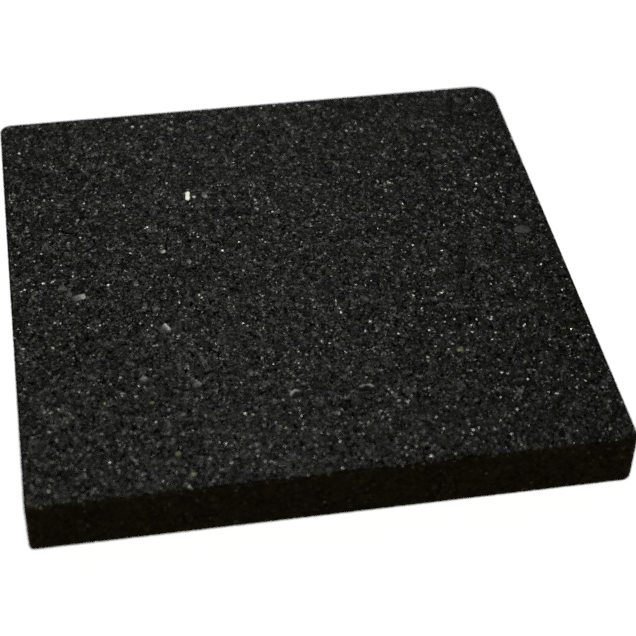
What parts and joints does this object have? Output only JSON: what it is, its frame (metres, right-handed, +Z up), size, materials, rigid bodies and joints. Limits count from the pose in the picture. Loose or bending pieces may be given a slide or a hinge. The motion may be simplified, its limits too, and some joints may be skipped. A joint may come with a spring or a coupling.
{
  "type": "balance pad",
  "caption": "Flat near-square slab of bonded black rubber granulate with flecks of other colours, laid on the floor to stand on for balance and stance exercises.",
  "frame": {"origin": "centre of the underside", "axes": "+Z up, out of the face that is stood on; +X to the right and -Y towards the front edge, which has the two sharper corners"},
  "size_m": [0.3, 0.305, 0.03],
  "materials": {
    "black_granulate": "matt black bonded rubber granulate with an open grain and scattered satin facets",
    "grey_rubber": "smooth satin grey rubber, cut flat",
    "white_chip": "clean white, slightly glossy",
    "pale_rubber": "satin pale grey rubber",
    "olive_rubber": "matt olive green rubber",
    "textile_strand": "short pale tyre cord fibre"
  },
  "bodies": {
    "root": {"granulate_slab": "black_granulate", "grey_flakes": "grey_rubber", "white_chips": "white_chip", "pale_granules": "pale_rubber", "olive_granules": "olive_rubber", "fibre_strands": "textile_strand"}
  },
  "joints": []
}
